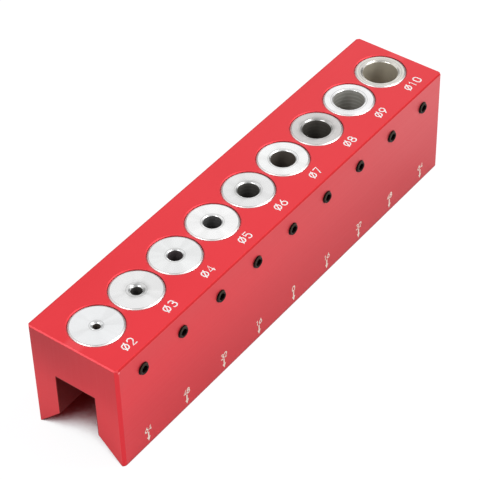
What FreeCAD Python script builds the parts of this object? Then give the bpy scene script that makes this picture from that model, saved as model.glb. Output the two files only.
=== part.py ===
import FreeCAD, Part
import Sketcher
import os

from FreeCAD import Placement, Rotation, Vector

# Drill guide: a block of extruded aluminium with nine hardened bushings in a row.
# It straddles an edge with its slot, or sits on round stock or a corner with its V.
# Each bushing drops in from above onto the slot's two edges, and a set screw holds it.
# Millimetres. X runs along the row, from the smallest bore to the largest. The set
# screws are on the -Y side. Z is up from the face that the block stands on.

# Drill diameter, and diameter of the countersink at the bore's mouth.
BUSHINGS = (
    (2, 3.8),
    (3, 6.0),
    (4, 5.4),
    (5, 6.4),
    (6, 7.6),
    (7, 8.4),
    (8, 9.8),
    (9, 10.4),
    (10, 12.4),
)

SIZES = {
    # Row of bushings
    "bushingCount": len(BUSHINGS),
    "bushingPitch": 16,
    # Block
    "endMargin": 10,
    "blockWidth": 29.5,
    "blockHeight": 35,
    "plateThickness": 14,
    "slotWidth": 13,
    "veeAngle": 90,
    "footWidth": 1,
    "cornerBevel": 0.8,
    "edgeBevel": 0.35,
    # Bushings and their seats
    "bushingDiameter": 15,
    "bushingBevel": 0.45,
    "drillClearance": 0.02,
    "seatClearance": 0.05,
    # Set screws: plain at the thread's mean diameter, with a flat point
    "screwDiameter": 4,
    "screwThreadPitch": 0.7,
    "screwThreadClearance": 0.05,
    "screwDrop": 6.6,
    "screwStandOut": 0.6,
    "screwEndBevel": 0.4,
    "screwTipClearance": 0.05,
    "hexWidth": 2,
    "hexDepth": 2,
}

# Mean diameter of a metric thread, as a share of its pitch below the nominal one
THREAD_MEAN_DROP = 0.6495

# Formulas that more than one piece uses
BLOCK_LENGTH = "(Sizes.bushingCount - 1) * Sizes.bushingPitch + 2 * Sizes.endMargin"
LEDGE_HEIGHT = "Sizes.blockHeight - Sizes.plateThickness"
SCREW_HEIGHT = "Sizes.blockHeight - Sizes.screwDrop"
SCREW_RADIUS = f"(Sizes.screwDiameter - {THREAD_MEAN_DROP} * Sizes.screwThreadPitch) / 2"
SCREW_LENGTH = (
    "(Sizes.blockWidth - Sizes.bushingDiameter) / 2 - Sizes.screwTipClearance"
    " + Sizes.screwStandOut"
)

doc = FreeCAD.newDocument("DrillGuide")


def make_sheet():
    """Driving sizes, one to a row: the name in column A, the aliased number in B."""
    sheet = doc.addObject("Spreadsheet::Sheet", "Sizes")
    rows = dict(SIZES)
    for number, (drill, mouth) in enumerate(BUSHINGS, start=1):
        rows[f"drill_{number}"] = drill
        rows[f"mouth_{number}"] = mouth
    for row, (name, value) in enumerate(rows.items(), start=1):
        sheet.set(f"A{row}", name)
        sheet.set(f"B{row}", str(value))
        sheet.setAlias(f"B{row}", name)
    doc.recompute()
    return sheet


def row_place(number):
    """Formula for the X of a bushing in the row, counted from 1."""
    return f"({number} - (Sizes.bushingCount + 1) / 2) * Sizes.bushingPitch"


def origin_plane(body, role):
    """One of the body's own origin planes or axes."""
    for feature in body.Origin.OriginFeatures:
        if feature.Role == role:
            return feature
    raise ValueError(f"{body.Label} has no {role}")


def new_sketch(body, name, role):
    """Empty sketch on one of the body's origin planes."""
    sketch = body.newObject("Sketcher::SketchObject", name)
    sketch.AttachmentSupport = (origin_plane(body, role), [""])
    sketch.MapMode = "FlatFace"
    return sketch


def bind_point(sketch, line, end, across, up):
    """Hold one end of a line at the place that two formulas give."""
    for kind, axis, formula in (("DistanceX", -2, across), ("DistanceY", -1, up)):
        value = sketch.evalExpression(formula)
        if value == 0:
            sketch.addConstraint(Sketcher.Constraint("PointOnObject", line, end, axis))
            continue
        points = (-1, 1, line, end) if value > 0 else (line, end, -1, 1)
        held = sketch.addConstraint(Sketcher.Constraint(kind, *points, abs(value)))
        sketch.setExpression(f"Constraints[{held}]", formula if value > 0 else f"-({formula})")


def draw_circle(sketch, up, radius):
    """Circle whose centre lies on the sketch's vertical axis."""
    height = float(sketch.evalExpression(up))
    size = float(sketch.evalExpression(radius))
    sketch.addGeometry(Part.Circle(Vector(0, height, 0), Vector(0, 0, 1), size))
    bind_point(sketch, 0, 3, "0", up)
    held = sketch.addConstraint(Sketcher.Constraint("Radius", 0, size))
    sketch.setExpression(f"Constraints[{held}]", radius)


def draw_outline(sketch, corners):
    """Closed outline of straight lines through corners given as pairs of formulas."""
    places = [
        Vector(float(sketch.evalExpression(across)), float(sketch.evalExpression(up)), 0)
        for across, up in corners
    ]
    for index, start in enumerate(places):
        sketch.addGeometry(Part.LineSegment(start, places[(index + 1) % len(places)]))
    for index, (across, up) in enumerate(corners):
        previous = (index - 1) % len(corners)
        sketch.addConstraint(Sketcher.Constraint("Coincident", previous, 2, index, 1))
        bind_point(sketch, index, 1, across, up)


def edges_where(feature, wanted):
    """Names of the straight edges whose every vertex meets the condition."""
    names = []
    for number, edge in enumerate(feature.Shape.Edges, start=1):
        if all(wanted(vertex.Point) for vertex in edge.Vertexes):
            names.append(f"Edge{number}")
    return names


def bevel_edges(body, name, base, edges, size):
    """Equal bevel along the named edges of the body's last feature."""
    chamfer = body.newObject("PartDesign::Chamfer", name)
    chamfer.Base = (base, edges)
    chamfer.setExpression("Size", size)
    doc.recompute()
    return chamfer


def make_block():
    """Extruded section, bevelled, with a seat and a tapped hole for each bushing."""
    body = doc.addObject("PartDesign::Body", "GuideBlock")
    body.Label = "guide_block"

    # Half of the section, from the slot's ceiling round to the top face
    foot_inside = "Sizes.blockWidth / 2 - Sizes.footWidth"
    vee_depth = f"({foot_inside} - Sizes.slotWidth / 2) / tan(Sizes.veeAngle / 2)"
    half = [
        ("Sizes.slotWidth / 2", LEDGE_HEIGHT),
        ("Sizes.slotWidth / 2", vee_depth),
        (foot_inside, "0"),
        ("Sizes.blockWidth / 2", "0"),
        ("Sizes.blockWidth / 2", "Sizes.blockHeight"),
    ]
    mirrored = [(f"-({across})", up) for across, up in reversed(half)]
    section = new_sketch(body, "BlockSection", "YZ_Plane")
    draw_outline(section, half + mirrored)

    extrusion = body.newObject("PartDesign::Pad", "BlockExtrusion")
    extrusion.Profile = section
    extrusion.setExpression("Length", BLOCK_LENGTH)
    extrusion.SideType = "Symmetric"
    doc.recompute()

    end = float(body.evalExpression(BLOCK_LENGTH)) / 2
    side = sheet.blockWidth / 2
    top = sheet.blockHeight

    def upright_at(end_x, side_y):
        """Condition that only the upright edge at one corner of the plan meets."""
        return lambda point: abs(point.x - end_x) < 1e-6 and abs(point.y - side_y) < 1e-6

    uprights = []
    for end_x in (-end, end):
        for side_y in (-side, side):
            uprights += edges_where(extrusion, upright_at(end_x, side_y))
    corners = bevel_edges(body, "CornerBevels", extrusion, uprights, "Sizes.cornerBevel")

    def at_foot(point):
        return abs(point.z) < 1e-6 and abs(abs(point.y) - side) < 1e-6

    rims = edges_where(corners, lambda point: abs(point.z - top) < 1e-6)
    rims += edges_where(corners, at_foot)
    bevel_edges(body, "RimBevels", corners, rims, "Sizes.edgeBevel")

    # Seat of the first bushing: a flat-bottomed bore, as deep as the slot's ceiling
    seat_sketch = new_sketch(body, "SeatCircle", "XY_Plane")
    seat_sketch.setExpression("AttachmentOffset.Base.x", row_place(1))
    seat_sketch.setExpression("AttachmentOffset.Base.z", "Sizes.blockHeight")
    draw_circle(seat_sketch, "0", "Sizes.bushingDiameter / 2 + Sizes.seatClearance")
    seat = body.newObject("PartDesign::Pocket", "BushingSeat")
    seat.Profile = seat_sketch
    seat.setExpression("Length", "Sizes.plateThickness")
    doc.recompute()

    # Tapped hole of the first set screw: from the bushing's axis out through the front
    hole_sketch = new_sketch(body, "ScrewHoleCircle", "XZ_Plane")
    hole_sketch.setExpression("AttachmentOffset.Base.x", row_place(1))
    draw_circle(hole_sketch, SCREW_HEIGHT, f"{SCREW_RADIUS} + Sizes.screwThreadClearance")
    hole = body.newObject("PartDesign::Pocket", "ScrewHole")
    hole.Profile = hole_sketch
    hole.Type = "ThroughAll"
    hole.Reversed = True
    doc.recompute()
    if not seat.Shape.Volume < corners.Shape.Volume or not hole.Shape.Volume < seat.Shape.Volume:
        raise RuntimeError("a seat or a set screw hole cuts nothing")

    row = body.newObject("PartDesign::LinearPattern", "BushingRow")
    row.Originals = [seat, hole]
    row.Direction = (origin_plane(body, "X_Axis"), [""])
    row.setExpression("Length", "(Sizes.bushingCount - 1) * Sizes.bushingPitch")
    row.setExpression("Occurrences", "Sizes.bushingCount")
    body.Tip = row
    doc.recompute()
    return body


def make_bushing(number):
    """Turned bushing: outer bevel at the top, countersunk bore, sharp seating face."""
    drill = int(BUSHINGS[number - 1][0])
    body = doc.addObject("PartDesign::Body", f"Bushing{drill}")
    body.Label = f"bushing_{drill}mm"
    bore = f"Sizes.drill_{number} / 2 + Sizes.drillClearance"
    mouth = f"Sizes.mouth_{number} / 2"
    outside = "Sizes.bushingDiameter / 2"
    length = "Sizes.plateThickness"
    bevel = "Sizes.bushingBevel"
    profile = new_sketch(body, f"BushingProfile{drill}", "XZ_Plane")
    corners = [
        (bore, "0"),
        (outside, "0"),
        (outside, f"{length} - {bevel}"),
        (f"{outside} - {bevel}", length),
        (mouth, length),
        (bore, f"{length} - ({mouth} - ({bore}))"),
    ]
    draw_outline(profile, corners)
    turned = body.newObject("PartDesign::Revolution", f"BushingTurned{drill}")
    turned.Profile = profile
    turned.ReferenceAxis = (profile, ["V_Axis"])
    body.setExpression("Placement.Base.x", row_place(number))
    body.setExpression("Placement.Base.z", LEDGE_HEIGHT)
    return body


def make_set_screw(number):
    """Socket set screw, just proud of the front face, its flat point at the bushing."""
    drill = int(BUSHINGS[number - 1][0])
    body = doc.addObject("PartDesign::Body", f"SetScrew{drill}")
    body.Label = f"set_screw_{drill}mm"
    profile = new_sketch(body, f"ScrewProfile{drill}", "XZ_Plane")
    corners = [
        ("0", "0"),
        (SCREW_RADIUS, "0"),
        (SCREW_RADIUS, f"{SCREW_LENGTH} - Sizes.screwEndBevel"),
        (f"{SCREW_RADIUS} - Sizes.screwEndBevel", SCREW_LENGTH),
        ("0", SCREW_LENGTH),
    ]
    draw_outline(profile, corners)
    turned = body.newObject("PartDesign::Revolution", f"ScrewTurned{drill}")
    turned.Profile = profile
    turned.ReferenceAxis = (profile, ["V_Axis"])
    doc.recompute()

    # Hexagon socket, cut down from the outer end
    socket_sketch = new_sketch(body, f"SocketProfile{drill}", "XY_Plane")
    socket_sketch.setExpression("AttachmentOffset.Base.z", SCREW_LENGTH)
    radius = "Sizes.hexWidth / sqrt(3)"
    hexagon = [(f"{radius} * cos({60 * k})", f"{radius} * sin({60 * k})") for k in range(6)]
    hexagon[0] = (radius, "0")
    hexagon[3] = (f"-{radius}", "0")
    draw_outline(socket_sketch, hexagon)
    socket = body.newObject("PartDesign::Pocket", f"Socket{drill}")
    socket.Profile = socket_sketch
    socket.setExpression("Length", "Sizes.hexDepth")
    doc.recompute()
    if socket.Shape.Volume >= turned.Shape.Volume:
        raise RuntimeError("the hexagon socket cuts nothing")

    # The screw's own Z, from its point to its socket, is laid along -Y
    body.Placement = Placement(Vector(0, 0, 0), Rotation(Vector(1, 0, 0), 90))
    body.setExpression("Placement.Base.x", row_place(number))
    body.setExpression(
        "Placement.Base.y", f"{SCREW_LENGTH} - Sizes.screwStandOut - Sizes.blockWidth / 2"
    )
    body.setExpression("Placement.Base.z", SCREW_HEIGHT)
    return body


def check_and_export(pieces):
    """Refuse a failed document, then write each piece in its own file."""
    doc.recompute()
    for item in doc.Objects:
        if "Invalid" in item.State or "Error" in item.State:
            raise RuntimeError(f"{item.Label} failed: {item.State}")
    for piece in pieces:
        shape = piece.Shape
        if shape.isNull() or not shape.isValid() or len(shape.Solids) != 1:
            raise RuntimeError(f"{piece.Label} is not one valid solid")
    os.makedirs("parts", exist_ok=True)
    for piece in pieces:
        piece.Shape.exportStep(f"parts/{piece.Label}.step")


sheet = make_sheet()
pieces = [make_block()]
for number in range(1, len(BUSHINGS) + 1):
    pieces.append(make_bushing(number))
    pieces.append(make_set_screw(number))
check_and_export(pieces)
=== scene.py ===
from math import cos, pi, radians, sin, tau

import bpy
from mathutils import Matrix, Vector


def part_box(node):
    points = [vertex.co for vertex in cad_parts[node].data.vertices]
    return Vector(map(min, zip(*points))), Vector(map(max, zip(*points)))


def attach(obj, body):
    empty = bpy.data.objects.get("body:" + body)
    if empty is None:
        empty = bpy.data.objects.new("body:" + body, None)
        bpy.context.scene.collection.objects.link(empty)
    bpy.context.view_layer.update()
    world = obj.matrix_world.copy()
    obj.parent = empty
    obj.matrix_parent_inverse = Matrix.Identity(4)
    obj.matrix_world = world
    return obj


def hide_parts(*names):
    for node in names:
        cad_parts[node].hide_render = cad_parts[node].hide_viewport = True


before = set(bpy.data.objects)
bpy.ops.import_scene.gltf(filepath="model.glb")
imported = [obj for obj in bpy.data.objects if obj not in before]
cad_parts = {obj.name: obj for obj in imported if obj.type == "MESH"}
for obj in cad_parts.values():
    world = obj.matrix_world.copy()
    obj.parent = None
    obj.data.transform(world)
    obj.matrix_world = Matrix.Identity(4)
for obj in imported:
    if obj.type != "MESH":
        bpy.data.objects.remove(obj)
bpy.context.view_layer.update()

# Looks of the drill guide: anodised block, ground steel bushings, black set screws and
# the painted numerals. Metres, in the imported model's own frame. The row of bushings
# runs along X, the scale is on the -Y face and the bores' mouths are on top.

MM = 0.001

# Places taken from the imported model
BLOCK_LOW, BLOCK_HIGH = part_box("guide_block")
TOP = BLOCK_HIGH.z
FRONT = BLOCK_LOW.y
BACK = BLOCK_HIGH.y
BUSHING_SIZES = (2, 3, 4, 5, 6, 7, 8, 9, 10)
BUSHING_COUNT = len(BUSHING_SIZES)
ROW_START = sum(corner.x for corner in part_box("bushing_2mm")) / 2
ROW_END = sum(corner.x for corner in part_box("bushing_10mm")) / 2
PITCH = (ROW_END - ROW_START) / (BUSHING_COUNT - 1)
BUSHING_LOW, BUSHING_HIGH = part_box("bushing_6mm")
BUSHING_RADIUS = (BUSHING_HIGH.x - BUSHING_LOW.x) / 2
SCREW_LOW, SCREW_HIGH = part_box("set_screw_6mm")
SCREW_RADIUS = (SCREW_HIGH.z - SCREW_LOW.z) / 2
SCREW_HEIGHT = (SCREW_HIGH.z + SCREW_LOW.z) / 2
SCREW_LENGTH = SCREW_HIGH.y - SCREW_LOW.y
GUIDE_BODY = "guide"

# A mix node's sockets for each kind of value: the two that go in, and the result
MIX_SOCKETS = {"FLOAT": (2, 3, 0), "RGBA": (6, 7, 2)}


def bushing_x(index):
    """Place along the row of a bushing, counted from 0."""
    return ROW_START + index * PITCH


class Shading:
    """The nodes of a material or of the world, with short ways to add and join them."""

    def __init__(self, owner, output_kind="ShaderNodeOutputMaterial"):
        self.owner = owner
        owner.use_nodes = True
        self.tree = owner.node_tree
        self.tree.nodes.clear()
        self.output = self.add(output_kind)

    def add(self, kind, **settings):
        node = self.tree.nodes.new(kind)
        for name, value in settings.items():
            setattr(node, name, value)
        return node

    def join(self, source, target):
        self.tree.links.new(source, target)

    def feed(self, socket, value):
        """Gives a socket a link, a colour of three parts or a plain value."""
        if isinstance(value, bpy.types.NodeSocket):
            self.join(value, socket)
        elif isinstance(value, tuple):
            socket.default_value = (*value, 1.0)
        else:
            socket.default_value = value

    def math(self, operation, *values):
        node = self.add("ShaderNodeMath", operation=operation)
        for socket, value in zip(node.inputs, values):
            self.feed(socket, value)
        return node.outputs[0]

    def product(self, first, *others):
        """All the values multiplied together."""
        for other in others:
            first = self.math("MULTIPLY", first, other)
        return first

    def distance(self, first, second):
        """Length of a vector from its two parts."""
        squares = [self.product(part, part) for part in (first, second)]
        return self.math("SQRT", self.math("ADD", *squares))

    def ramp(self, value, first, last, start=0.0, end=1.0):
        """Runs smoothly from start, where the value is first, to end, where it is last."""
        if first > last:
            first, last, start, end = last, first, end, start
        node = self.add("ShaderNodeMapRange", interpolation_type="SMOOTHSTEP")
        self.feed(node.inputs["Value"], value)
        ends = {"From Min": first, "From Max": last, "To Min": start, "To Max": end}
        for socket, number in ends.items():
            node.inputs[socket].default_value = number
        return node.outputs["Result"]

    def spread(self, value, low, high):
        """Spreads a 0 to 1 value over another range."""
        node = self.add("ShaderNodeMapRange")
        self.feed(node.inputs["Value"], value)
        node.inputs["To Min"].default_value = low
        node.inputs["To Max"].default_value = high
        return node.outputs["Result"]

    def mix(self, factor, first, second, kind="RGBA"):
        """The first value at factor 0, the second at 1: colours, or else plain numbers."""
        node = self.add("ShaderNodeMix", data_type=kind)
        first_socket, second_socket, result = MIX_SOCKETS[kind]
        self.feed(node.inputs["Factor"], factor)
        self.feed(node.inputs[first_socket], first)
        self.feed(node.inputs[second_socket], second)
        return node.outputs[result]

    def parts(self, vector):
        """A vector's three parts."""
        node = self.add("ShaderNodeSeparateXYZ")
        self.join(vector, node.inputs[0])
        return list(node.outputs)

    def vector(self, *parts):
        node = self.add("ShaderNodeCombineXYZ")
        for socket, part in zip(node.inputs, parts):
            self.feed(socket, part)
        return node.outputs[0]

    def place(self):
        """Position in the object's own frame."""
        return self.add("ShaderNodeTexCoord").outputs["Object"]

    def facing(self):
        """How far the surface faces along X, Y and Z, whichever way."""
        normal = self.add("ShaderNodeTexCoord").outputs["Normal"]
        return [self.math("ABSOLUTE", part) for part in self.parts(normal)]

    def noise(self, coordinates, scale, detail=2.0, roughness=0.5):
        """Noise with so many features to the metre, one number or one for each axis."""
        stretch = self.add("ShaderNodeVectorMath", operation="MULTIPLY")
        self.join(coordinates, stretch.inputs[0])
        stretch.inputs[1].default_value = scale if isinstance(scale, tuple) else (scale,) * 3
        node = self.add("ShaderNodeTexNoise")
        self.join(stretch.outputs[0], node.inputs["Vector"])
        node.inputs["Scale"].default_value = 1.0
        node.inputs["Detail"].default_value = detail
        node.inputs["Roughness"].default_value = roughness
        return node.outputs[0]

    def bump(self, value, depth, under=None):
        """Relief of the given depth in metres."""
        node = self.add("ShaderNodeBump")
        self.join(value, node.inputs["Height"])
        node.inputs["Distance"].default_value = depth
        node.inputs["Strength"].default_value = 1.0
        if under is not None:
            self.join(under, node.inputs["Normal"])
        return node.outputs[0]

    def surface(self, **inputs):
        """Principled surface, with sockets named by words joined with underscores."""
        shader = self.add("ShaderNodeBsdfPrincipled")
        for name, value in inputs.items():
            self.feed(shader.inputs[name.replace("_", " ")], value)
        self.join(shader.outputs[0], self.output.inputs["Surface"])

    def background(self, strength):
        """White background of the given strength."""
        node = self.add("ShaderNodeBackground")
        self.feed(node.inputs["Color"], (1.0, 1.0, 1.0))
        self.feed(node.inputs["Strength"], strength)
        return node.outputs[0]

    def mix_shaders(self, factor, first, second):
        node = self.add("ShaderNodeMixShader")
        for socket, source in zip(node.inputs, (factor, first, second)):
            self.join(source, socket)
        return node.outputs[0]

    def rays(self):
        """Whether a ray comes from the camera, and whether it was mirrored or let through."""
        paths = self.add("ShaderNodeLightPath").outputs
        mirrored = self.math("MAXIMUM", paths["Is Glossy Ray"], paths["Is Transmission Ray"])
        return paths["Is Camera Ray"], mirrored


def material_shading(name):
    """The nodes of a new material, which is their owner."""
    return Shading(bpy.data.materials.new(name))


def from_bushing(shading, x):
    """Distance along the row from the nearest bushing's middle."""
    steps = shading.math("DIVIDE", shading.math("SUBTRACT", x, ROW_START), PITCH)
    number = shading.math("MAXIMUM", shading.math("ROUND", steps), 0.0)
    number = shading.math("MINIMUM", number, BUSHING_COUNT - 1.0)
    return shading.product(shading.math("SUBTRACT", steps, number), PITCH)


# Anodised block. A pair of numbers says where a tone begins and where it is full, and a
# _SHARE how much of it is laid on. Squareness is how far a face looks along one axis.
RED = (0.83, 0.040, 0.054)
RED_DEEP = (0.77, 0.030, 0.042)
DYE_CLOUDS = (30, 60, 60)
# Painted haze, a painted reflection that pales the red towards the Ø10 end
RED_PAINTED_HAZE = (0.60, 0.115, 0.120)
HAZE_ALONG_X = (-70 * MM, 75 * MM)
HAZE_SHARE = 0.12
HAZE_SIDE_SHARE = 0.43
SQUARE_TO_SIDE = (0.80, 0.95)
SQUARE_TO_END = (0.90, 0.98)
# Painted shade, darker towards the bottom of the long sides
RED_PAINTED_LOW_SHADE = (0.62, 0.030, 0.042)
LOW_SHADE_IN_Z = (34 * MM, 4 * MM)
LOW_SHADE_SHARE = 0.50
RED_HIGH = (0.66, 0.048, 0.056)
HIGH_IN_Z = (22 * MM, 34 * MM)
HIGH_ALONG_X = (75 * MM, 0.0)
HIGH_SHARE = 0.45
# Painted contact shade along the lowest strip of the long sides
RED_PAINTED_FOOT_SHADE = (0.42, 0.020, 0.024)
FOOT_SHADE_IN_Z = (1.0 * MM, 0.3 * MM)
FOOT_SHADE_SHARE = 0.6
# Painted light on the legs of the ends, and painted shade towards the ends' top and back
RED_PAINTED_LIT_LEG = (0.86, 0.050, 0.062)
LIT_LEG_IN_Z = (26 * MM, 16 * MM)
LIT_LEG_SHARE_AT_BACK = 0.35
RED_PAINTED_END_SHADE = (0.44, 0.007, 0.015)
END_SHADE_IN_Z = (8 * MM, 36 * MM)
END_SHADE_SHARE_AT_FRONT = 0.55
# Painted shade on the slot's walls
RED_PAINTED_SLOT_SHADE = (0.27, 0.004, 0.003)
SLOT_HALF = 6.5 * MM
SLOT_TOP = TOP - 14.0 * MM
SLOT_SHADE_FROM_MIDDLE = (SLOT_HALF + 0.2 * MM, SLOT_HALF + 0.1 * MM)
SLOT_SHADE_IN_Z = (SLOT_TOP + 0.2 * MM, SLOT_TOP)
# Bevels, which look along no axis squarely
BEVEL_SQUARENESS = (0.92, 0.80)
BEVEL_OF_END = (0.2, 0.5)
BEVEL_UPRIGHT = (0.5, 0.2)
BEVEL_HIGH_UP = (TOP - 2 * MM, TOP - 1 * MM)
# Painted highlight, laid on the end edges, the ring round each bushing and the web between two
RED_PAINTED_HIGHLIGHT = (0.90, 0.13, 0.15)
END_EDGE_HIGHLIGHT_SHARE = 0.45
# Painted shade on the long top bevels and along the top face's long edges
RED_PAINTED_EDGE_SHADE = (0.61, 0.022, 0.028)
# Painted shade, deeper red, on the upright corner bevels, deepest on the back corner
RED_CORNER_SHADE = (0.75, 0.022, 0.034)
RED_FAR_CORNER_SHADE = (0.44, 0.020, 0.028)
FAR_CORNER_IN_Y = (-1 * MM, 1 * MM)
# Painted highlight on the top corner at the Ø2 end, on the scale's side
RED_CORNER_HIGHLIGHT = (0.90, 0.24, 0.26)
CORNER_HIGHLIGHT_X, CORNER_HIGHLIGHT_Z = BLOCK_LOW.x + 1.00 * MM, TOP - 0.75 * MM
CORNER_HIGHLIGHT_REACH = (0.42 * MM, 0.21 * MM)
CORNER_HIGHLIGHT_IN_Y = (FRONT + 0.8 * MM, FRONT + 0.4 * MM)
# Top face
TOP_IN_Z = (TOP - 0.2 * MM, TOP - 0.1 * MM)
BY_EDGE_FROM_MIDDLE = (13.9 * MM, 14.35 * MM)
BY_EDGE_SHADE_SHARE = 0.35
# Joint round each bushing, the ring around it and the web between two, the ring and the web with a
# painted highlight
GAP_SHADE = (0.030, 0.004, 0.004)
SEAT_SHADE = (0.42, 0.018, 0.024)
SEAT_DARK = (0.16, 0.008, 0.010)
SEAT_AWAY = (0.2, 1.2)
SEAT_IN_Z = (TOP - 6 * MM, TOP - 5 * MM)
MOUTH_IN_Z = (TOP - 0.45 * MM, TOP - 0.25 * MM)
GAP_END = BUSHING_RADIUS + 0.06 * MM
GAP_BLUR = 0.04 * MM
RING_END = BUSHING_RADIUS + 0.42 * MM
RING_BLUR = 0.05 * MM
RING_HIGHLIGHT_SHARE = 0.15
RING_FALL = 0.10 * MM
WEB_FROM_BUSHING = (7.3 * MM, 7.6 * MM)
WEB_FROM_MIDDLE = (3.2 * MM, 1.6 * MM)
WEB_HIGHLIGHT_SHARE = 0.30
# Grain and gloss
STREAKS = (12, 2600, 2600)
SAW_LINES = (400, 1900, 60)
LINE_DEPTH = 0.010 * MM
GRAIN = 5200
GRAIN_DEPTH = 0.006 * MM
EDGE_SOFTNESS = 0.35 * MM
BLOCK_ROUGHNESS = (0.36, 0.50)
MATT_ROUGHNESS = 0.35


def dyed_sides(shading, coordinates, x, z, sideways):
    """The dye's cloudy colour, with a painted haze along the row, and on the long sides painted
    shade low down and at the foot and a darker band high up.
    """
    clouds = shading.noise(coordinates, DYE_CLOUDS, detail=3.0)
    colour = shading.mix(clouds, RED_DEEP, RED)
    # Painted haze, a painted reflection that pales the red towards the Ø10 end, most of all on the
    # long sides
    share = shading.math("ADD", shading.product(sideways, HAZE_SIDE_SHARE), HAZE_SHARE)
    painted_haze = shading.product(shading.ramp(x, *HAZE_ALONG_X), share)
    colour = shading.mix(painted_haze, colour, RED_PAINTED_HAZE)
    # Painted shade towards the bottom of the long sides, where the floor is close
    low = shading.product(sideways, shading.ramp(z, *LOW_SHADE_IN_Z), LOW_SHADE_SHARE)
    colour = shading.mix(low, colour, RED_PAINTED_LOW_SHADE)
    square = shading.ramp(sideways, *SQUARE_TO_SIDE)
    high = shading.product(sideways, shading.ramp(z, *HIGH_IN_Z), square)
    high = shading.product(high, shading.ramp(x, *HIGH_ALONG_X), HIGH_SHARE)
    colour = shading.mix(high, colour, RED_HIGH)
    # Painted contact shade along the lowest strip, where the face meets the floor
    foot = shading.product(sideways, shading.ramp(z, *FOOT_SHADE_IN_Z), square, FOOT_SHADE_SHARE)
    return shading.mix(foot, colour, RED_PAINTED_FOOT_SHADE)


def sawn_ends(shading, colour, y, z, on_end):
    """Painted light and shade on the ends: painted shade towards the top and the back, painted
    light on their legs.
    """
    legs = shading.product(on_end, shading.ramp(z, *LIT_LEG_IN_Z))
    legs = shading.product(legs, shading.ramp(y, BACK, FRONT, start=LIT_LEG_SHARE_AT_BACK))
    colour = shading.mix(legs, colour, RED_PAINTED_LIT_LEG)
    end_shade = shading.product(on_end, shading.ramp(z, *END_SHADE_IN_Z))
    end_shade = shading.product(end_shade, shading.ramp(y, FRONT, BACK, start=END_SHADE_SHARE_AT_FRONT))
    return shading.mix(end_shade, colour, RED_PAINTED_END_SHADE)


def bevels(shading, colour, x, y, z, facing):
    """The bevels face between the axes and carry painted highlights and painted shade. Also says
    where the long top edges are.
    """
    across, sideways, upward = facing
    square = shading.math("MAXIMUM", shading.math("MAXIMUM", across, sideways), upward)
    on_edge = shading.ramp(square, *BEVEL_SQUARENESS)
    on_end_edge = shading.product(on_edge, shading.ramp(across, *BEVEL_OF_END))
    on_long_edge = shading.math("SUBTRACT", on_edge, on_end_edge)
    on_long_edge = shading.product(on_long_edge, shading.ramp(z, *BEVEL_HIGH_UP))
    on_corner = shading.product(on_end_edge, shading.ramp(upward, *BEVEL_UPRIGHT))
    on_end_edge = shading.math("SUBTRACT", on_end_edge, on_corner)
    # Painted highlight along the end edges
    colour = shading.mix(shading.product(on_end_edge, END_EDGE_HIGHLIGHT_SHARE), colour, RED_PAINTED_HIGHLIGHT)
    # Painted shade on the upright corner bevels, deepest on the back corner
    corner = shading.mix(shading.ramp(y, *FAR_CORNER_IN_Y), RED_CORNER_SHADE, RED_FAR_CORNER_SHADE)
    colour = shading.mix(on_corner, colour, corner)
    # Painted shade on the long top bevels
    colour = shading.mix(on_long_edge, colour, RED_PAINTED_EDGE_SHADE)
    # A painted highlight on the top corner at the Ø2 end, on the scale's side
    from_corner = shading.distance(
        shading.math("SUBTRACT", x, CORNER_HIGHLIGHT_X), shading.math("SUBTRACT", z, CORNER_HIGHLIGHT_Z)
    )
    painted_highlight_mask = shading.ramp(from_corner, *CORNER_HIGHLIGHT_REACH)
    painted_highlight_mask = shading.product(painted_highlight_mask, shading.ramp(y, *CORNER_HIGHLIGHT_IN_Y))
    return shading.mix(painted_highlight_mask, colour, RED_CORNER_HIGHLIGHT), on_long_edge


def around_bushings(shading, colour, x, y, z, on_top):
    """Dark joint round each bushing, and a deburred ring with a painted highlight. Also gives the
    ring's relief.
    """
    offset = from_bushing(shading, x)
    radius = shading.distance(offset, y)
    # Painted highlight on the thin web between two bushings
    web = shading.ramp(shading.math("ABSOLUTE", offset), *WEB_FROM_BUSHING)
    narrow = shading.ramp(shading.math("ABSOLUTE", y), *WEB_FROM_MIDDLE)
    web = shading.product(web, narrow, WEB_HIGHLIGHT_SHARE)
    # Painted highlight on the deburred ring, whose relief is real
    ring = shading.ramp(radius, RING_END + RING_BLUR, RING_END - RING_BLUR, end=RING_HIGHLIGHT_SHARE)
    ring_and_web_highlight = shading.product(shading.math("MAXIMUM", ring, web), on_top)
    colour = shading.mix(ring_and_web_highlight, colour, RED_PAINTED_HIGHLIGHT)
    # The joint is darker on the side away from the light
    away = shading.math("DIVIDE", shading.math("SUBTRACT", offset, y), radius)
    seat = shading.mix(shading.ramp(away, *SEAT_AWAY), SEAT_SHADE, SEAT_DARK)
    shade = shading.mix(shading.ramp(z, *MOUTH_IN_Z), GAP_SHADE, seat)
    joint = shading.ramp(radius, GAP_END + GAP_BLUR, GAP_END - GAP_BLUR)
    joint = shading.product(joint, shading.ramp(z, *SEAT_IN_Z))
    colour = shading.mix(joint, colour, shade)
    rise = shading.ramp(radius, GAP_END, RING_END)
    return colour, shading.math("MAXIMUM", rise, shading.math("SUBTRACT", 1.0, on_top))


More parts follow.
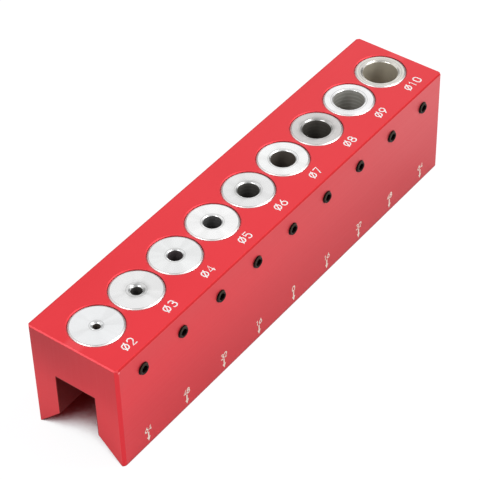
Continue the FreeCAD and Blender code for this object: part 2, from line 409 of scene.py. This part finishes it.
def anodised_aluminium():
    """Red anodised extrusion: streaks along it, saw lines on its ends, painted highlights and
    painted shade on its edges.
    """
    shading = material_shading("red_anodised_aluminium")
    coordinates = shading.place()
    x, y, z = shading.parts(coordinates)
    facing = shading.facing()
    across, sideways, _ = facing
    from_middle = shading.math("ABSOLUTE", y)

    colour = dyed_sides(shading, coordinates, x, z, sideways)
    on_end = shading.ramp(across, *SQUARE_TO_END)
    # Painted light and shade on the ends
    colour = sawn_ends(shading, colour, y, z, on_end)
    # Painted shade on the slot's own walls, which lie in the block's shadow
    slot_shade = shading.ramp(from_middle, *SLOT_SHADE_FROM_MIDDLE)
    slot_shade = shading.product(slot_shade, shading.ramp(z, *SLOT_SHADE_IN_Z))
    colour = shading.mix(slot_shade, colour, RED_PAINTED_SLOT_SHADE)
    colour, on_long_edge = bevels(shading, colour, x, y, z, facing)
    # Painted shade: the top face darkens a little along its long edges
    on_top = shading.ramp(z, *TOP_IN_Z)
    by_edge = shading.ramp(from_middle, *BY_EDGE_FROM_MIDDLE)
    by_edge = shading.product(on_top, by_edge, BY_EDGE_SHADE_SHARE)
    colour = shading.mix(by_edge, colour, RED_PAINTED_EDGE_SHADE)
    colour, ring_rise = around_bushings(shading, colour, x, y, z, on_top)

    streaks = shading.noise(coordinates, STREAKS)
    saw_lines = shading.noise(coordinates, SAW_LINES, detail=3.0, roughness=0.6)
    lines = shading.mix(on_end, streaks, saw_lines, "FLOAT")
    softened = shading.add("ShaderNodeBevel", samples=6)
    softened.inputs["Radius"].default_value = EDGE_SOFTNESS
    relief = shading.bump(lines, LINE_DEPTH, softened.outputs[0])
    relief = shading.bump(shading.noise(coordinates, GRAIN), GRAIN_DEPTH, relief)
    relief = shading.bump(ring_rise, RING_FALL, relief)
    # The saw's burr along the long edges was rubbed matt
    matt = shading.product(shading.math("MAXIMUM", on_long_edge, by_edge), MATT_ROUGHNESS)
    roughness = shading.math("ADD", shading.spread(lines, *BLOCK_ROUGHNESS), matt)
    shading.surface(
        Base_Color=colour, Metallic=0.75, Roughness=roughness, IOR=1.5, Normal=relief,
        Coat_Weight=0.15, Coat_Roughness=0.30,
    )
    return shading.owner


# Bushings. Diameter and depth in millimetres of the rounded lead-in at each mouth, from
# the smallest drill up.
MOUTHS = (3.8, 5.5, 5.4, 6.4, 7.6, 8.4, 9.8, 10.4, 12.4)
LEAD_DEPTHS = (0.55, 0.65, 0.35, 0.30, 0.45, 0.35, 0.50, 0.25, 0.55)
LEAD_STEPS = 12
DRILL_CLEARANCE = 0.02 * MM
BUSHING_BEVEL = 0.50 * MM
BUSHING_BEVEL_FALL = 0.34 * MM
BUSHING_FOOT_EDGE = 0.30 * MM
BUSHING_EDGE = 0.07 * MM
BUSHING_SEGMENTS = 144
BUSHING_ANGLES = [tau * step / BUSHING_SEGMENTS for step in range(BUSHING_SEGMENTS)]
# The tones of each bushing's face, and the painted shade in its reamed bore, in the same order
FACE_TONES = (
    (0.88, 0.89, 0.90),
    (0.87, 0.87, 0.87),
    (0.89, 0.90, 0.90),
    (0.98, 0.98, 0.98),
    (0.84, 0.84, 0.84),
    (0.96, 0.97, 0.97),
    (0.66, 0.64, 0.63),
    (0.97, 0.97, 0.98),
    (0.80, 0.77, 0.71),
)
BORE_PAINTED_SHADES = (
    (0.120, 0.100, 0.085),
    (0.090, 0.085, 0.080),
    (0.120, 0.100, 0.105),
    (0.120, 0.120, 0.120),
    (0.110, 0.105, 0.095),
    (0.150, 0.130, 0.110),
    (0.115, 0.105, 0.090),
    (0.400, 0.395, 0.360),
    (0.500, 0.460, 0.370),
)
BORE_BLUR = (0.05 * MM, 0.01 * MM)
BORE_IN_Z = (TOP - 0.05 * MM, TOP - 0.2 * MM)
STEEL_DULL = (0.60, 0.60, 0.60)
STEEL_CLOUDS = 240
CLOUD_SHARE = 0.12
# Sheen that changes with the direction from the bore
FAN_TURNS = (1.7, 1.7, 1.0)
FAN_STEP = 0.37
FAN_RANGE = (0.42, 0.70)
FAN_SHARE = 0.22
# Smudged shade round each lead-in, and the reamer's rings in each bore
SMUDGES = (0.10, 0.55, 0.08, 0.10, 0.30, 0.12, 0.45, 0.12, 0.20)
SMUDGE_SHADE = (0.22, 0.22, 0.21)
SMUDGE_REACH = 1.6 * MM
SMUDGE_PATCHES = 420
SMUDGE_RANGE = (0.30, 0.62)
BORE_RINGS = (0.0, 0.0, 0.02, 0.04, 0.04, 0.0, 0.03, 0.34, 0.0)
BORE_RING_TONE = (0.70, 0.68, 0.66)
BORE_RING_PITCH = 1.25 * MM
BORE_RING_RANGE = (0.1, 0.9)
# Bright outer bevel, and the fine dark lines where it and the lead-in begin
BEVEL_TONE = (0.93, 0.92, 0.91)
BEVEL_BLUR = 0.10 * MM
MARK_SHADE = (0.30, 0.29, 0.28)
MARK_REACH = 0.20 * MM
MARK_SHARE = 0.45
TURNING_RINGS = (2600, 2600, 1)
TURNING_DEPTH = 0.0015 * MM
STEEL_ROUGHNESS = (0.16, 0.26)
ROUGHER_SHARE = 0.30
ROUGHER_ON_BEVEL = 0.8
BORE_LESS_METALLIC = 0.55


def hardened_steel(index, bore_radius, mouth_radius):
    """Ground and polished steel: fine turning rings on top, painted shade in the reamed bore."""
    shading = material_shading(f"hardened_steel_{BUSHING_SIZES[index]}mm")
    coordinates = shading.place()
    x, y, z = shading.parts(coordinates)
    offset = shading.math("SUBTRACT", x, bushing_x(index))
    radius = shading.distance(offset, y)
    bevel_radius = BUSHING_RADIUS - BUSHING_BEVEL

    clouds = shading.spread(shading.noise(coordinates, STEEL_CLOUDS), 0.0, CLOUD_SHARE)
    colour = shading.mix(clouds, FACE_TONES[index], STEEL_DULL)
    turn = [shading.math("DIVIDE", part, radius) for part in (offset, y)]
    fan = shading.noise(shading.vector(*turn, FAN_STEP * index), FAN_TURNS, detail=1.0)
    colour = shading.mix(shading.ramp(fan, *FAN_RANGE, end=FAN_SHARE), colour, STEEL_DULL)
    smudge = shading.ramp(radius, mouth_radius + SMUDGE_REACH, bore_radius)
    patchy = shading.ramp(shading.noise(coordinates, SMUDGE_PATCHES), *SMUDGE_RANGE)
    smudge = shading.product(smudge, patchy, SMUDGES[index])
    colour = shading.mix(smudge, colour, SMUDGE_SHADE)
    on_bevel = shading.ramp(radius, bevel_radius, bevel_radius + BEVEL_BLUR)
    colour = shading.mix(on_bevel, colour, BEVEL_TONE)
    for mark in (mouth_radius, bevel_radius):
        away = shading.math("ABSOLUTE", shading.math("SUBTRACT", radius, mark))
        line = shading.ramp(away, MARK_REACH, 0.0, end=MARK_SHARE)
        colour = shading.mix(line, colour, MARK_SHADE)

    # Painted shade in the bore, with the reamer's rings
    wave = shading.math("SINE", shading.product(z, tau / BORE_RING_PITCH))
    ringed = shading.ramp(wave, *BORE_RING_RANGE, end=BORE_RINGS[index])
    bore = shading.mix(ringed, BORE_PAINTED_SHADES[index], BORE_RING_TONE)
    in_bore = shading.ramp(radius, *(bore_radius + blur for blur in BORE_BLUR))
    in_bore = shading.product(in_bore, shading.ramp(z, *BORE_IN_Z))
    colour = shading.mix(in_bore, colour, bore)

    # Noise of the radius and the height alone makes the rings that turning leaves
    rings = shading.noise(shading.vector(radius, z), TURNING_RINGS)
    rougher = shading.math("ADD", in_bore, shading.product(on_bevel, ROUGHER_ON_BEVEL))
    rougher = shading.product(rougher, ROUGHER_SHARE)
    roughness = shading.math("ADD", shading.spread(rings, *STEEL_ROUGHNESS), rougher)
    metallic = shading.math("SUBTRACT", 1.0, shading.product(in_bore, BORE_LESS_METALLIC))
    around = shading.add("ShaderNodeTangent", direction_type="RADIAL", axis="Z").outputs[0]
    shading.surface(
        Base_Color=colour, Metallic=metallic, Roughness=roughness,
        Normal=shading.bump(rings, TURNING_DEPTH),
        Anisotropic=0.6, Anisotropic_Rotation=0.25, Tangent=around,
    )
    return shading.owner


# Black set screws
OXIDE = (0.010, 0.005, 0.004)
OXIDE_FACE = (0.010, 0.006, 0.004)
# Painted highlight on one side of the socket's bevel
OXIDE_PAINTED_HIGHLIGHT = (0.062, 0.053, 0.036)
OXIDE_CLOUDS = 900
OXIDE_ROUGHNESS = (0.32, 0.50)
OXIDE_DEPTH = 0.01 * MM
HIGHLIGHT_LEAST = 0.45
HIGHLIGHT_DIAGONAL = 0.7
HIGHLIGHT_TOWARDS_START = (0.9 * MM, 0.1 * MM)
OUTER_IN_Y = (SCREW_LOW.y + 0.35 * MM, SCREW_LOW.y + 0.25 * MM)
FACE_SQUARE = (0.85, 0.95)
SOCKET_BEVEL_FLATTEST = (0.97, 0.90)
SOCKET_BEVEL_STEEPEST = (0.20, 0.35)


def black_oxide():
    """Blackened steel with a painted highlight on one side of the rim where the key and the face
    meet.
    """
    shading = material_shading("black_oxide_steel")
    coordinates = shading.place()
    x, y, z = shading.parts(coordinates)
    _, sideways, _ = shading.facing()
    clouds = shading.noise(coordinates, OXIDE_CLOUDS, detail=3.0)
    outer = shading.ramp(y, *OUTER_IN_Y)
    face = shading.product(outer, shading.ramp(sideways, *FACE_SQUARE))
    colour = shading.mix(face, OXIDE, OXIDE_FACE)
    # The socket's small bevel leans in between the face and the hexagon
    lean = shading.product(
        outer, shading.ramp(sideways, *SOCKET_BEVEL_FLATTEST),
        shading.ramp(sideways, *SOCKET_BEVEL_STEEPEST),
    )
    # Painted highlight on the side of the socket's bevel away from the row's far end
    rise = shading.math("SUBTRACT", z, SCREW_HEIGHT)
    diagonal = shading.math("SUBTRACT", from_bushing(shading, x), rise)
    painted_highlight_mask = shading.ramp(shading.product(diagonal, HIGHLIGHT_DIAGONAL), *HIGHLIGHT_TOWARDS_START)
    socket_highlight = shading.product(shading.spread(clouds, HIGHLIGHT_LEAST, 1.0), lean, painted_highlight_mask)
    shading.surface(
        Base_Color=shading.mix(socket_highlight, colour, OXIDE_PAINTED_HIGHLIGHT), Metallic=0.25,
        Roughness=shading.spread(clouds, *OXIDE_ROUGHNESS),
        Normal=shading.bump(clouds, OXIDE_DEPTH), Specular_IOR_Level=0.10,
    )
    return shading.owner


SHARP_ANGLE = radians(34)


def skin(name, rings, closed=False):
    """Mesh that joins each ring of points to the next. A ring may be a single point."""
    vertices, faces, starts = [], [], []
    for ring in rings:
        starts.append(len(vertices))
        vertices.extend(ring)
    pairs = list(zip(range(len(rings) - 1), range(1, len(rings))))
    if closed:
        pairs.append((len(rings) - 1, 0))
    for low, high in pairs:
        count = max(len(rings[low]), len(rings[high]))
        for step in range(count):
            corners = []
            for ring, place in ((low, step), (low, step + 1), (high, step + 1), (high, step)):
                vertex = starts[ring] + place % len(rings[ring])
                if vertex not in corners:
                    corners.append(vertex)
            faces.append(corners)
    mesh = bpy.data.meshes.new(name)
    mesh.from_pydata(vertices, [], faces)
    mesh.shade_smooth()
    mesh.set_sharp_from_angle(angle=SHARP_ANGLE)
    return mesh


def add_piece(name, mesh, material):
    """A piece of the given mesh, all of one material."""
    mesh.materials.append(material)
    piece = bpy.data.objects.new(name, mesh)
    bpy.context.collection.objects.link(piece)
    return piece


def hang(mesh, material, node, body):
    """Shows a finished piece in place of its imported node."""
    piece = add_piece(mesh.name, mesh, material)
    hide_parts(node)
    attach(piece, body)


def eased(before, corner, after, radius, steps=4):
    """A corner of a profile rounded off, as points from one side of it to the other."""
    corner = Vector(corner)
    start = corner + (Vector(before) - corner).normalized() * radius
    end = corner + (Vector(after) - corner).normalized() * radius
    points = []
    for step in range(steps + 1):
        share = step / steps
        points.append(start.lerp(corner, share).lerp(corner.lerp(end, share), share))
    return points


def bushing_profile(bore, mouth, depth, length):
    """Radius and height round a bushing's section, outside first."""
    foot = (bore, 0.0), (BUSHING_RADIUS, 0.0)
    bevel = (BUSHING_RADIUS, length - BUSHING_BEVEL_FALL), (BUSHING_RADIUS - BUSHING_BEVEL, length)
    profile = eased(foot[0], foot[1], bevel[0], BUSHING_FOOT_EDGE)
    profile += eased(foot[1], bevel[0], bevel[1], BUSHING_EDGE)
    profile += eased(bevel[0], bevel[1], (mouth, length), BUSHING_EDGE)
    lead = mouth - bore
    for step in range(LEAD_STEPS + 1):
        angle = pi / 2 * step / LEAD_STEPS
        profile.append(Vector((mouth - lead * sin(angle), length - depth * (1 - cos(angle)))))
    profile += eased((bore, length), foot[0], foot[1], BUSHING_FOOT_EDGE)
    return profile


def bushing_ring(x, radius, height):
    """Points about a bushing's upright axis."""
    z = BUSHING_LOW.z + height
    return [(x + radius * cos(angle), radius * sin(angle), z) for angle in BUSHING_ANGLES]


def make_bushings():
    """Turned bushings with rounded lead-ins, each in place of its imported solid."""
    length = BUSHING_HIGH.z - BUSHING_LOW.z
    for index, size in enumerate(BUSHING_SIZES):
        bore = size / 2 * MM + DRILL_CLEARANCE
        mouth, depth = MOUTHS[index] / 2 * MM, LEAD_DEPTHS[index] * MM
        profile = bushing_profile(bore, mouth, depth, length)
        rings = [bushing_ring(bushing_x(index), radius, height) for radius, height in profile]
        mesh = skin(f"turned_bushing_{size}mm", rings, closed=True)
        steel = hardened_steel(index, bore, mouth)
        hang(mesh, steel, f"bushing_{size}mm", GUIDE_BODY)


# Set screws
THREAD_PITCH = 0.7 * MM
THREAD_DEPTH = 0.34 * MM
THREAD_STEP = 0.1 * MM
# Shares of half a pitch, from the crest's middle: where the root begins, and the flank's width
THREAD_ROOT = 0.78
THREAD_FLANK = 0.62
POINT_RADIUS = 1.15 * MM
FACE_RADIUS = 1.55 * MM
HEX_WIDTH = 2.0 * MM
HEX_MOUTH = 1.22 * MM
HEX_BEVEL_DEPTH = 0.14 * MM
HEX_DEPTH = 2.0 * MM
HEX_BOTTOM_FALL = 0.5 * MM
SCREW_SEGMENTS = 48
SCREW_ANGLES = [tau * step / SCREW_SEGMENTS for step in range(SCREW_SEGMENTS)]


def thread_radius(angle, height):
    """Radius of the threaded shank, with the bevels of its point and its face."""
    turn = (height / THREAD_PITCH - angle / tau) % 1.0
    from_crest = abs(turn - 0.5) * 2
    share = min(1.0, max(0.0, (THREAD_ROOT - from_crest) / THREAD_FLANK))
    thread = SCREW_RADIUS - THREAD_DEPTH * (1 - share)
    return min(thread, POINT_RADIUS + height, FACE_RADIUS + SCREW_LENGTH - height)


def hex_radius(angle):
    """Distance from the axis to the side of the hexagon socket."""
    return HEX_WIDTH / 2 / cos(angle % (pi / 3) - pi / 6)


def screw_ring(x, height, radii):
    """Points about a screw's axis, which runs out through the front face."""
    y = SCREW_HIGH.y - height
    return [
        (x + radius * cos(angle), y, SCREW_HEIGHT + radius * sin(angle))
        for angle, radius in zip(SCREW_ANGLES, radii)
    ]


def screw_rings(x):
    """A set screw's skin, from the middle of its point to the bottom of its socket."""
    rows = round(SCREW_LENGTH / THREAD_STEP)
    rings = [screw_ring(x, 0.0, [0.0])]
    for row in range(rows + 1):
        height = SCREW_LENGTH * row / rows
        radii = [thread_radius(angle, height) for angle in SCREW_ANGLES]
        rings.append(screw_ring(x, height, radii))
    hexagon = [hex_radius(angle) for angle in SCREW_ANGLES]
    rings.append(screw_ring(x, SCREW_LENGTH, [HEX_MOUTH] * SCREW_SEGMENTS))
    rings.append(screw_ring(x, SCREW_LENGTH - HEX_BEVEL_DEPTH, hexagon))
    rings.append(screw_ring(x, SCREW_LENGTH - HEX_DEPTH, hexagon))
    rings.append(screw_ring(x, SCREW_LENGTH - HEX_DEPTH - HEX_BOTTOM_FALL, [0.0]))
    return rings


def make_set_screws():
    """Threaded hexagon socket set screws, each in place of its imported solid."""
    oxide = black_oxide()
    for index, size in enumerate(BUSHING_SIZES):
        mesh = skin(f"threaded_set_screw_{size}mm", screw_rings(bushing_x(index)))
        packed = f"set_screw_{size}mm"
        hang(mesh, oxide, packed, packed)


# Painted numerals and marks
PAINT_WHITE = (0.95, 0.93, 0.92)
PAINT_CREAM = (1.00, 0.91, 0.78)
PAINT_THIN = 0.90
PAINT_PATCHES = 1500
PAINT_ROUGHNESS = (0.45, 0.65)
PAINT_DEPTH = 0.01 * MM


def marking_paint(name, colour):
    """Matt enamel, a little uneven where it fills the engraving."""
    shading = material_shading(name)
    patches = shading.noise(shading.place(), PAINT_PATCHES, detail=3.0)
    thin = tuple(channel * PAINT_THIN for channel in colour)
    shading.surface(
        Base_Color=shading.mix(patches, thin, colour),
        Roughness=shading.spread(patches, *PAINT_ROUGHNESS),
        Normal=shading.bump(patches, PAINT_DEPTH),
    )
    return shading.owner


def arc(centre_x, centre_y, radius_x, radius_y, start, end, steps=14):
    """Points along part of an ellipse, from one angle in degrees to another."""
    points = []
    for step in range(steps + 1):
        angle = radians(start + (end - start) * step / steps)
        points.append((centre_x + radius_x * cos(angle), centre_y + radius_y * sin(angle)))
    return points


# Centre lines of a rounded engraver's numerals, in cells WIDE wide and HIGH high. The
# diameter sign is a ring with a slash that passes it at both ends.
WIDE, HIGH = 0.62, 1.0
HALF = WIDE / 2
STROKES = {
    "0": [
        arc(HALF, HIGH - HALF, HALF, HALF, 0, 180)
        + arc(HALF, HALF, HALF, HALF, 180, 360) + [(WIDE, HIGH - HALF)]
    ],
    "1": [[(HALF - 0.20, HIGH - 0.22), (HALF, HIGH), (HALF, 0)]],
    "2": [arc(HALF, HIGH - HALF, HALF, HALF, 170, -38) + [(0.02, 0), (WIDE, 0)]],
    "3": [
        arc(HALF, HIGH - 0.25, 0.27, 0.25, 150, -90) + arc(HALF, 0.29, HALF, 0.29, 90, -155)
    ],
    "4": [[(WIDE - 0.14, 0), (WIDE - 0.14, HIGH), (0, 0.26), (WIDE, 0.26)]],
    "5": [
        [(WIDE - 0.04, HIGH), (0.09, HIGH), (0.05, 0.50)]
        + arc(HALF, 0.32, HALF, 0.32, 125, -150)
    ],
    "6": [[(WIDE - 0.14, HIGH), (0.07, 0.50)] + arc(HALF, 0.32, HALF, 0.32, 150, -210, 24)],
    "7": [[(0, HIGH), (WIDE, HIGH), (0.17, 0)]],
    "8": [
        arc(HALF, HIGH - 0.23, 0.25, 0.23, 270, -90, 24)
        + arc(HALF, 0.27, HALF, 0.27, 90, 450, 24)
    ],
    "9": [
        [(0.14, 0), (WIDE - 0.07, 0.50)] + arc(HALF, HIGH - 0.32, HALF, 0.32, -30, 330, 24)
    ],
    "Ø": [arc(0.36, 0.5, 0.33, 0.40, 0, 360, 28), [(0.06, -0.03), (0.66, 1.03)]],
}
WIDER_CELLS = {"Ø": 0.72}
MARKING_STROKE = 0.38 * MM
MARKING_FLATTEN = 0.12
ALONG_ROW = Vector((1, 0, 0))


def add_spline(curve, points):
    """One open run of straight pieces, close enough together to read as a curve."""
    spline = curve.splines.new("POLY")
    spline.points.add(len(points) - 1)
    for target, (px, py) in zip(spline.points, points):
        target.co = (px, py, 0.0, 1.0)


def lettering(name, text, height, gap, centre, up, paint):
    """Numerals as shallow rounded strokes on a face, centred on a point of it."""
    curve = bpy.data.curves.new(name, "CURVE")
    curve.dimensions = "3D"
    curve.bevel_depth = MARKING_STROKE / 2
    curve.bevel_resolution = 2
    curve.use_fill_caps = True
    body = height - MARKING_STROKE
    widths = [WIDER_CELLS.get(character, WIDE) for character in text]
    start = -(sum(widths) + gap * (len(text) - 1)) / 2
    for character, width in zip(text, widths):
        for line in STROKES[character]:
            add_spline(curve, [((start + px) * body, (py - HIGH / 2) * body) for px, py in line])
        start += width + gap
    maker = bpy.data.objects.new(f"{name}_strokes", curve)
    bpy.context.collection.objects.link(maker)
    mesh = bpy.data.meshes.new_from_object(maker)
    bpy.data.objects.remove(maker)
    outward = ALONG_ROW.cross(up)
    for vertex in mesh.vertices:
        px, py, rise = vertex.co
        vertex.co = centre + ALONG_ROW * px + up * py + outward * (rise * MARKING_FLATTEN)
    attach(add_piece(name, mesh, paint), GUIDE_BODY)


# Numerals beside the bushings, and how many millimetres each stands from its bushing's
# own place along the row
SIZE_HEIGHT = 2.9 * MM
SIZE_GAP = 0.26
SIZE_PLACE_Y = -10.75 * MM
SIZE_SHIFTS = (-0.46, 0.12, -0.08, -0.10, -0.06, 0.12, 0.64, 0.24, 0.52)


def size_numerals():
    """The drill diameter beside each bushing, upright as read from the scale's side."""
    paint = marking_paint("white_marking_paint", PAINT_WHITE)
    up = Vector((0, 1, 0))
    for index, size in enumerate(BUSHING_SIZES):
        centre = Vector((bushing_x(index) + SIZE_SHIFTS[index] * MM, SIZE_PLACE_Y, TOP))
        name = f"size_numeral_{size}mm"
        lettering(name, f"Ø{size}", SIZE_HEIGHT, SIZE_GAP, centre, up, paint)


# Scale on the front face, with the shift of each mark in the same way
SCALE_HEIGHT = 2.10 * MM
SCALE_GAP = 0.17
SCALE_PLACE_Z = 5.90 * MM
SCALE_SHIFTS = (0.0, 0.10, 0.30, 0.10, 0.25, 0.30, 0.20, 0.10, 0.45)
ARROW_TOP = 4.75 * MM
ARROW_TIP = 1.45 * MM
ARROW_HEAD = 1.50 * MM
ARROW_HEAD_HALF = 0.70 * MM
ARROW_SHAFT_HALF = 0.27 * MM
ARROW_RISE = 0.02 * MM


def scale_marks():
    """Distance from the middle bushing under each one, over a small arrow."""
    paint = marking_paint("cream_marking_paint", PAINT_CREAM)
    up = Vector((0, 0, 1))
    for index, size in enumerate(BUSHING_SIZES):
        x = bushing_x(index) + SCALE_SHIFTS[index] * MM
        distance = round(abs(index - BUSHING_COUNT // 2) * PITCH / MM)
        centre = Vector((x, FRONT, SCALE_PLACE_Z))
        name = f"scale_numeral_{size}mm"
        lettering(name, str(distance), SCALE_HEIGHT, SCALE_GAP, centre, up, paint)
        place_arrow(f"scale_arrow_{size}mm", x, paint)


def place_arrow(name, x, paint):
    """Small solid arrow on the front face, pointing down at the block's edge."""
    head_top = ARROW_TIP + ARROW_HEAD
    outline = [
        (0.0, ARROW_TIP), (ARROW_HEAD_HALF, head_top), (ARROW_SHAFT_HALF, head_top),
        (ARROW_SHAFT_HALF, ARROW_TOP), (-ARROW_SHAFT_HALF, ARROW_TOP),
        (-ARROW_SHAFT_HALF, head_top), (-ARROW_HEAD_HALF, head_top),
    ]
    count = len(outline)
    vertices = []
    for rise in (-ARROW_RISE, ARROW_RISE):
        vertices.extend((x + px, FRONT - rise, pz) for px, pz in outline)
    faces = [list(range(count, 2 * count)), list(reversed(range(count)))]
    for step in range(count):
        after = (step + 1) % count
        faces.append([step, after, count + after, count + step])
    mesh = bpy.data.meshes.new(name)
    mesh.from_pydata(vertices, [], faces)
    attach(add_piece(name, mesh, paint), GUIDE_BODY)


def dress_block():
    """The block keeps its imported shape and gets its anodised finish."""
    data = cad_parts["guide_block"].data
    data.materials.clear()
    data.materials.append(anodised_aluminium())


# Floor. Its openness is 0 where the block stands close over it and 1 in the open, and the lift to
# white fades with it into a painted shadow.
FLOOR_HALF = 3.0
FLOOR_COLOUR = (0.50, 0.495, 0.52)
FLOOR_SEEN = (0.14, 0.135, 0.145)
# Painted red reflection of the block on the floor under it
FLOOR_RED_BOUNCE = (0.28, 0.030, 0.030)
UNDER_RANGE = (0.32, 0.08)
SHADE_TINT = (1.0, 0.91, 0.96)
# Painted red reflection in the deepest painted shadow
DEEP_RED_BOUNCE = (1.0, 0.16, 0.19)
DEEP_RANGE = (0.0, 0.55)
FLOOR_LIFT = 0.92
GLOSS_LIFT = 0.56
OPEN_REACH = 40 * MM
OPEN_RANGE = (0.135, 0.40)


def make_floor():
    """Pale floor: its own colour, and a lift to white where nothing stands close over it, which
    fades into a painted shadow.
    """
    bpy.ops.mesh.primitive_plane_add(size=2 * FLOOR_HALF, location=(0, 0, 0))
    floor = bpy.context.object
    floor.name = "floor"
    shading = material_shading("pale_floor")
    camera_ray, mirrored = shading.rays()
    occlusion = shading.add("ShaderNodeAmbientOcclusion", samples=16)
    occlusion.inputs["Distance"].default_value = OPEN_REACH
    openness = occlusion.outputs["AO"]
    open_share = shading.ramp(openness, *OPEN_RANGE)
    # Painted red reflection: under the block the floor takes the block's colour
    seen_colour = shading.mix(shading.ramp(openness, *UNDER_RANGE), FLOOR_SEEN, FLOOR_RED_BOUNCE)
    diffuse = shading.add("ShaderNodeBsdfDiffuse")
    shading.feed(diffuse.inputs["Color"], shading.mix(camera_ray, FLOOR_COLOUR, seen_colour))
    glow = shading.add("ShaderNodeEmission")
    tint = shading.mix(open_share, SHADE_TINT, (1.0, 1.0, 1.0))
    # Painted red reflection in the deepest painted shadow
    tint = shading.mix(shading.ramp(open_share, *DEEP_RANGE), DEEP_RED_BOUNCE, tint)
    shading.feed(glow.inputs["Color"], tint)
    # Painted shadow: the lift to white fades where the block stands close over the floor
    seen = shading.product(camera_ray, FLOOR_LIFT, open_share)
    bounced = shading.product(mirrored, GLOSS_LIFT, openness)
    shading.feed(glow.inputs["Strength"], shading.math("ADD", seen, bounced))
    total = shading.add("ShaderNodeAddShader")
    for socket, shader in zip(total.inputs, (diffuse, glow)):
        shading.join(shader.outputs[0], socket)
    shading.join(total.outputs[0], shading.output.inputs["Surface"])
    floor.data.materials.append(shading.owner)


AMBIENT = 0.45
LAMPS = {
    # name: (place, size, watts), each aimed at the middle of the block
    "key": ((0.45, -0.40, 1.10), 0.50, 7.5),
    "fill": ((-0.70, 0.20, 0.80), 0.50, 2.5),
    "scale": ((0.10, -0.80, 0.25), 0.40, 0.9),
}
# The studio is white all round, but for a few darker places that the steel mirrors:
# direction, cosine where the shade begins, cosine where it is full, its level
DARK_CARDS = (
    ((-0.586, -0.452, 0.673), 0.955, 0.988, 0.10),
    ((0.0, 0.0, 1.0), 0.80, 0.98, 0.65),
    ((0.92, 0.02, 0.39), 0.93, 0.975, 0.28),
    ((0.28, 0.88, 0.39), 0.93, 0.975, 0.45),
)


def make_lamps():
    """A soft key overhead, a fill and a low lamp for the scale."""
    middle = (BLOCK_LOW + BLOCK_HIGH) / 2
    for name, (place, size, watts) in LAMPS.items():
        light = bpy.data.lights.new(name, "AREA")
        light.shape = "DISK"
        light.size = size
        light.energy = watts
        lamp = bpy.data.objects.new(name, light)
        lamp.location = place
        lamp.rotation_euler = (middle - Vector(place)).to_track_quat("-Z", "Y").to_euler()
        bpy.context.collection.objects.link(lamp)


def make_world():
    """White to the camera, an even grey light, and the dark cards in what is mirrored."""
    shading = Shading(bpy.data.worlds.new("studio"), "ShaderNodeOutputWorld")
    bpy.context.scene.world = shading.owner
    direction = shading.add("ShaderNodeTexCoord").outputs["Generated"]
    levels = []
    for towards, begins, full, level in DARK_CARDS:
        nearness = shading.add("ShaderNodeVectorMath", operation="DOT_PRODUCT")
        shading.join(direction, nearness.inputs[0])
        nearness.inputs[1].default_value = towards
        levels.append(shading.ramp(nearness.outputs["Value"], begins, full, start=1.0, end=level))
    reflected = shading.background(shading.product(*levels))
    camera_ray, mirrored = shading.rays()
    lit = shading.mix_shaders(mirrored, shading.background(AMBIENT), reflected)
    seen = shading.mix_shaders(camera_ray, lit, shading.background(1.0))
    shading.join(seen, shading.output.inputs["Surface"])


# Camera, fitted to the photograph
CAMERA_PLACE = (-0.31767, -0.24506, 0.38242)
CAMERA_TURN = (47.630, 1.28, -53.140)
CAMERA_LENS = 147.09


def make_camera():
    """Long lens from above the Ø2 end, on the scale's side."""
    camera = bpy.data.objects.new("camera", bpy.data.cameras.new("camera"))
    camera.data.lens = CAMERA_LENS
    camera.data.clip_start = 10 * MM
    camera.location = CAMERA_PLACE
    camera.rotation_euler = [radians(angle) for angle in CAMERA_TURN]
    bpy.context.collection.objects.link(camera)
    bpy.context.scene.camera = camera


dress_block()
make_bushings()
make_set_screws()
size_numerals()
scale_marks()
make_floor()
make_lamps()
make_world()
make_camera()
bpy.context.scene.view_settings.view_transform = "Standard"
